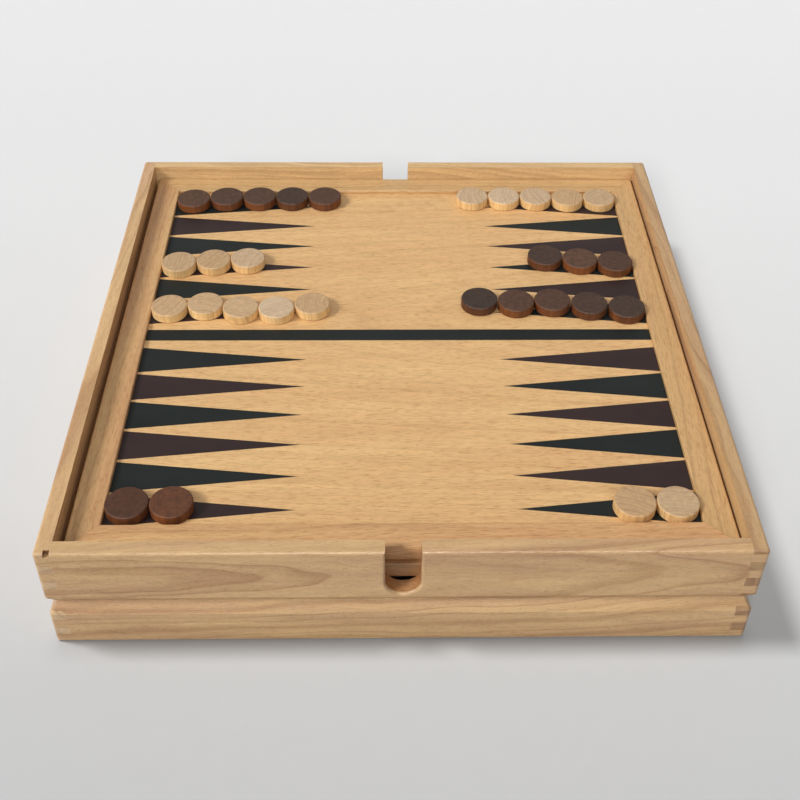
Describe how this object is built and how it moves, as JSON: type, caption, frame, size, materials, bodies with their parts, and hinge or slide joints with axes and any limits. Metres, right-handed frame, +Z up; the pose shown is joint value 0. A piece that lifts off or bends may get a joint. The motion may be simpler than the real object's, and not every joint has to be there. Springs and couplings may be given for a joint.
{
  "type": "backgammon set",
  "caption": "Backgammon set: finger-jointed beech box with a V-groove and two finger notches, a lift-out framed playing board, checkers set out to play, and dice stored beneath.",
  "frame": {"origin": "middle of the box footprint, at the base it rests on", "axes": "+Z up out of the box, +Y from the front wall to the back wall (the long side of the footprint), +X to the right seen from the front"},
  "size_m": [0.38, 0.39, 0.0725],
  "materials": {
    "wall_beech": "satin lacquered solid beech with cathedral grain",
    "ledge_beech": "planed beech, unlacquered",
    "frame_beech": "satin lacquered solid beech",
    "board_veneer": "satin beech veneer with printed green-black and purple-black points",
    "birch_plywood": "sanded plywood",
    "dark_checker": "stained and waxed wood, redder on the turned edge",
    "light_checker": "natural waxed wood",
    "light_die": "ivory-coloured with dark markings",
    "dark_die": "dark brown with light pips"
  },
  "bodies": {
    "box": {"front_wall": "wall_beech", "back_wall": "wall_beech", "left_wall": "wall_beech", "right_wall": "wall_beech", "bottom_panel": "birch_plywood", "ledge_front": "ledge_beech", "ledge_back": "ledge_beech", "ledge_left": "ledge_beech", "ledge_right": "ledge_beech"},
    "board": {"frame_front": "frame_beech", "frame_right": "frame_beech", "frame_back": "frame_beech", "frame_left": "frame_beech", "board_panel": "board_veneer"},
    "checker_dark_01": {"checker_dark_01": "dark_checker"},
    "checker_dark_02": {"checker_dark_02": "dark_checker"},
    "checker_dark_03": {"checker_dark_03": "dark_checker"},
    "checker_dark_04": {"checker_dark_04": "dark_checker"},
    "checker_dark_05": {"checker_dark_05": "dark_checker"},
    "checker_dark_06": {"checker_dark_06": "dark_checker"},
    "checker_dark_07": {"checker_dark_07": "dark_checker"},
    "checker_dark_08": {"checker_dark_08": "dark_checker"},
    "checker_dark_09": {"checker_dark_09": "dark_checker"},
    "checker_dark_10": {"checker_dark_10": "dark_checker"},
    "checker_dark_11": {"checker_dark_11": "dark_checker"},
    "checker_dark_12": {"checker_dark_12": "dark_checker"},
    "checker_dark_13": {"checker_dark_13": "dark_checker"},
    "checker_dark_14": {"checker_dark_14": "dark_checker"},
    "checker_dark_15": {"checker_dark_15": "dark_checker"},
    "checker_light_01": {"checker_light_01": "light_checker"},
    "checker_light_02": {"checker_light_02": "light_checker"},
    "checker_light_03": {"checker_light_03": "light_checker"},
    "checker_light_04": {"checker_light_04": "light_checker"},
    "checker_light_05": {"checker_light_05": "light_checker"},
    "checker_light_06": {"checker_light_06": "light_checker"},
    "checker_light_07": {"checker_light_07": "light_checker"},
    "checker_light_08": {"checker_light_08": "light_checker"},
    "checker_light_09": {"checker_light_09": "light_checker"},
    "checker_light_10": {"checker_light_10": "light_checker"},
    "checker_light_11": {"checker_light_11": "light_checker"},
    "checker_light_12": {"checker_light_12": "light_checker"},
    "checker_light_13": {"checker_light_13": "light_checker"},
    "checker_light_14": {"checker_light_14": "light_checker"},
    "checker_light_15": {"checker_light_15": "light_checker"},
    "die_light_1": {"die_light_1": "light_die"},
    "die_light_2": {"die_light_2": "light_die"},
    "die_dark_1": {"die_dark_1": "dark_die"},
    "die_dark_2": {"die_dark_2": "dark_die"},
    "doubling_cube": {"doubling_cube": "light_die"}
  },
  "joints": [
    {"name": "board_lift", "type": "slide", "parent": "box", "child": "board", "axis": [0, 0, 1], "range_m": [0, 0.12]},
    {"name": "checker_dark_01_lift", "type": "slide", "parent": "board", "child": "checker_dark_01", "axis": [0, 0, 1], "range_m": [0, 0.05]},
    {"name": "checker_dark_02_lift", "type": "slide", "parent": "board", "child": "checker_dark_02", "axis": [0, 0, 1], "range_m": [0, 0.05]},
    {"name": "checker_dark_03_lift", "type": "slide", "parent": "board", "child": "checker_dark_03", "axis": [0, 0, 1], "range_m": [0, 0.05]},
    {"name": "checker_dark_04_lift", "type": "slide", "parent": "board", "child": "checker_dark_04", "axis": [0, 0, 1], "range_m": [0, 0.05]},
    {"name": "checker_dark_05_lift", "type": "slide", "parent": "board", "child": "checker_dark_05", "axis": [0, 0, 1], "range_m": [0, 0.05]},
    {"name": "checker_dark_06_lift", "type": "slide", "parent": "board", "child": "checker_dark_06", "axis": [0, 0, 1], "range_m": [0, 0.05]},
    {"name": "checker_dark_07_lift", "type": "slide", "parent": "board", "child": "checker_dark_07", "axis": [0, 0, 1], "range_m": [0, 0.05]},
    {"name": "checker_dark_08_lift", "type": "slide", "parent": "board", "child": "checker_dark_08", "axis": [0, 0, 1], "range_m": [0, 0.05]},
    {"name": "checker_dark_09_lift", "type": "slide", "parent": "board", "child": "checker_dark_09", "axis": [0, 0, 1], "range_m": [0, 0.05]},
    {"name": "checker_dark_10_lift", "type": "slide", "parent": "board", "child": "checker_dark_10", "axis": [0, 0, 1], "range_m": [0, 0.05]},
    {"name": "checker_dark_11_lift", "type": "slide", "parent": "board", "child": "checker_dark_11", "axis": [0, 0, 1], "range_m": [0, 0.05]},
    {"name": "checker_dark_12_lift", "type": "slide", "parent": "board", "child": "checker_dark_12", "axis": [0, 0, 1], "range_m": [0, 0.05]},
    {"name": "checker_dark_13_lift", "type": "slide", "parent": "board", "child": "checker_dark_13", "axis": [0, 0, 1], "range_m": [0, 0.05]},
    {"name": "checker_dark_14_lift", "type": "slide", "parent": "board", "child": "checker_dark_14", "axis": [0, 0, 1], "range_m": [0, 0.05]},
    {"name": "checker_dark_15_lift", "type": "slide", "parent": "board", "child": "checker_dark_15", "axis": [0, 0, 1], "range_m": [0, 0.05]},
    {"name": "checker_light_01_lift", "type": "slide", "parent": "board", "child": "checker_light_01", "axis": [0, 0, 1], "range_m": [0, 0.05]},
    {"name": "checker_light_02_lift", "type": "slide", "parent": "board", "child": "checker_light_02", "axis": [0, 0, 1], "range_m": [0, 0.05]},
    {"name": "checker_light_03_lift", "type": "slide", "parent": "board", "child": "checker_light_03", "axis": [0, 0, 1], "range_m": [0, 0.05]},
    {"name": "checker_light_04_lift", "type": "slide", "parent": "board", "child": "checker_light_04", "axis": [0, 0, 1], "range_m": [0, 0.05]},
    {"name": "checker_light_05_lift", "type": "slide", "parent": "board", "child": "checker_light_05", "axis": [0, 0, 1], "range_m": [0, 0.05]},
    {"name": "checker_light_06_lift", "type": "slide", "parent": "board", "child": "checker_light_06", "axis": [0, 0, 1], "range_m": [0, 0.05]},
    {"name": "checker_light_07_lift", "type": "slide", "parent": "board", "child": "checker_light_07", "axis": [0, 0, 1], "range_m": [0, 0.05]},
    {"name": "checker_light_08_lift", "type": "slide", "parent": "board", "child": "checker_light_08", "axis": [0, 0, 1], "range_m": [0, 0.05]},
    {"name": "checker_light_09_lift", "type": "slide", "parent": "board", "child": "checker_light_09", "axis": [0, 0, 1], "range_m": [0, 0.05]},
    {"name": "checker_light_10_lift", "type": "slide", "parent": "board", "child": "checker_light_10", "axis": [0, 0, 1], "range_m": [0, 0.05]},
    {"name": "checker_light_11_lift", "type": "slide", "parent": "board", "child": "checker_light_11", "axis": [0, 0, 1], "range_m": [0, 0.05]},
    {"name": "checker_light_12_lift", "type": "slide", "parent": "board", "child": "checker_light_12", "axis": [0, 0, 1], "range_m": [0, 0.05]},
    {"name": "checker_light_13_lift", "type": "slide", "parent": "board", "child": "checker_light_13", "axis": [0, 0, 1], "range_m": [0, 0.05]},
    {"name": "checker_light_14_lift", "type": "slide", "parent": "board", "child": "checker_light_14", "axis": [0, 0, 1], "range_m": [0, 0.05]},
    {"name": "checker_light_15_lift", "type": "slide", "parent": "board", "child": "checker_light_15", "axis": [0, 0, 1], "range_m": [0, 0.05]},
    {"name": "die_light_1_lift", "type": "slide", "parent": "box", "child": "die_light_1", "axis": [0, 0, 1], "range_m": [0, 0.028]},
    {"name": "die_light_2_lift", "type": "slide", "parent": "box", "child": "die_light_2", "axis": [0, 0, 1], "range_m": [0, 0.028]},
    {"name": "die_dark_1_lift", "type": "slide", "parent": "box", "child": "die_dark_1", "axis": [0, 0, 1], "range_m": [0, 0.028]},
    {"name": "die_dark_2_lift", "type": "slide", "parent": "box", "child": "die_dark_2", "axis": [0, 0, 1], "range_m": [0, 0.028]},
    {"name": "doubling_cube_lift", "type": "slide", "parent": "box", "child": "doubling_cube", "axis": [0, 0, 1], "range_m": [0, 0.022]}
  ]
}
